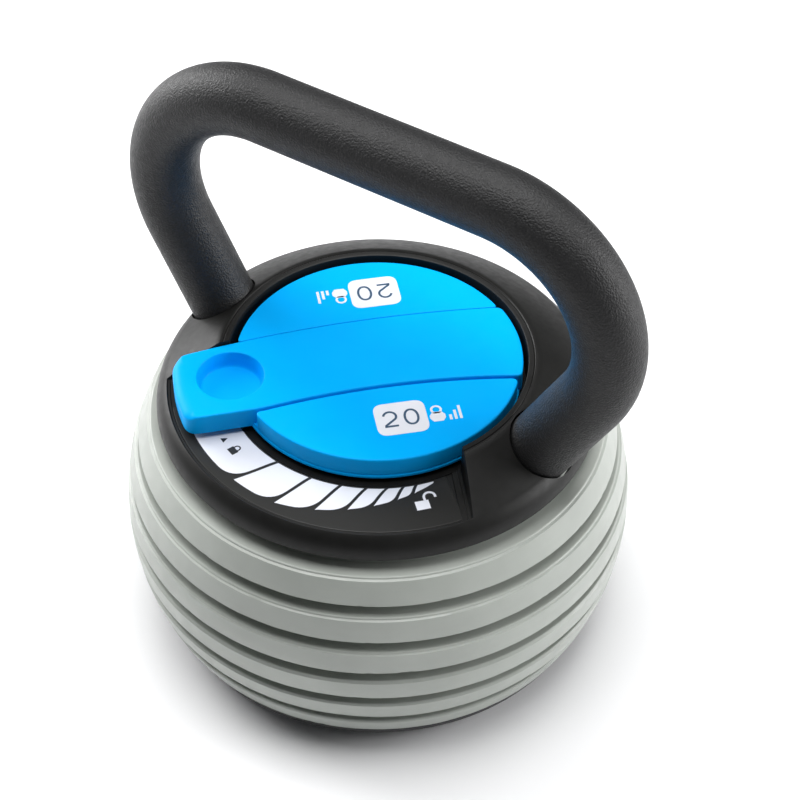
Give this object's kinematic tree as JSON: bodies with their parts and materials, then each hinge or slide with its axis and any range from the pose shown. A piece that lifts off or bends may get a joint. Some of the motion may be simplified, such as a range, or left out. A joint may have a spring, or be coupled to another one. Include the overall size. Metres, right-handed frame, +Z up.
{
  "type": "adjustable kettlebell",
  "caption": "Adjustable kettlebell: bent tube handle on a round black cap with a blue locking dial and lever, over a ball-shaped stack of grey weight plates and a black base.",
  "frame": {"origin": "centre of the underside of the base, on the floor", "axes": "+Z up; the handle stands in the XZ plane with its grip along X; the dial lever points towards -X, -Y at the lock end"},
  "size_m": [0.2308, 0.21, 0.249],
  "materials": {
    "plate_grey": "satin",
    "base_black": "matte",
    "foot_rubber": "matte",
    "handle_coat": "matte",
    "cap_plastic": "satin",
    "dial_blue": "satin",
    "label": "satin",
    "steel": "satin",
    "spring_steel": "satin",
    "washer_plastic": "satin"
  },
  "bodies": {
    "base": {"base_foot": "foot_rubber", "base_plate": "base_black", "spindle": "steel", "spindle_washer": "steel", "spindle_bolt": "steel"},
    "plate_6": {"plate_6": "plate_grey"},
    "plate_5": {"plate_5": "plate_grey"},
    "plate_4": {"plate_4": "plate_grey"},
    "plate_3": {"plate_3": "plate_grey"},
    "plate_2": {"plate_2": "plate_grey"},
    "plate_1": {"plate_1": "plate_grey"},
    "handle": {"handle_tube": "handle_coat", "handle_plugs": "steel", "handle_screws": "steel", "cap_shell": "cap_plastic", "cap_plate": "steel", "cap_screws": "steel", "hub_bush": "steel", "scale_label": "label", "latch_spring": "spring_steel", "thrust_washer": "washer_plastic", "retaining_ring": "spring_steel"},
    "dial": {"dial_body": "dial_blue", "dial_insert_near": "dial_blue", "dial_insert_far": "dial_blue", "dial_screws": "steel"}
  },
  "joints": [
    {"name": "plate_6_lift", "type": "slide", "parent": "base", "child": "plate_6", "axis": [0, 0, 1], "range_m": [0, 0.12]},
    {"name": "plate_5_lift", "type": "slide", "parent": "plate_6", "child": "plate_5", "axis": [0, 0, 1], "range_m": [0, 0.103]},
    {"name": "plate_4_lift", "type": "slide", "parent": "plate_5", "child": "plate_4", "axis": [0, 0, 1], "range_m": [0, 0.087]},
    {"name": "plate_3_lift", "type": "slide", "parent": "plate_4", "child": "plate_3", "axis": [0, 0, 1], "range_m": [0, 0.071]},
    {"name": "plate_2_lift", "type": "slide", "parent": "plate_3", "child": "plate_2", "axis": [0, 0, 1], "range_m": [0, 0.054]},
    {"name": "plate_1_lift", "type": "slide", "parent": "plate_2", "child": "plate_1", "axis": [0, 0, 1], "range_m": [0, 0.038]},
    {"name": "handle_lift", "type": "slide", "parent": "plate_1", "child": "handle", "axis": [0, 0, 1], "range_m": [0, 0.022]},
    {"name": "dial_turn", "type": "hinge", "parent": "handle", "child": "dial", "pos_m": [0, 0, 0.1255], "axis": [0, 0, 1], "range_deg": [0, 84], "deforming": ["latch_spring"]}
  ]
}
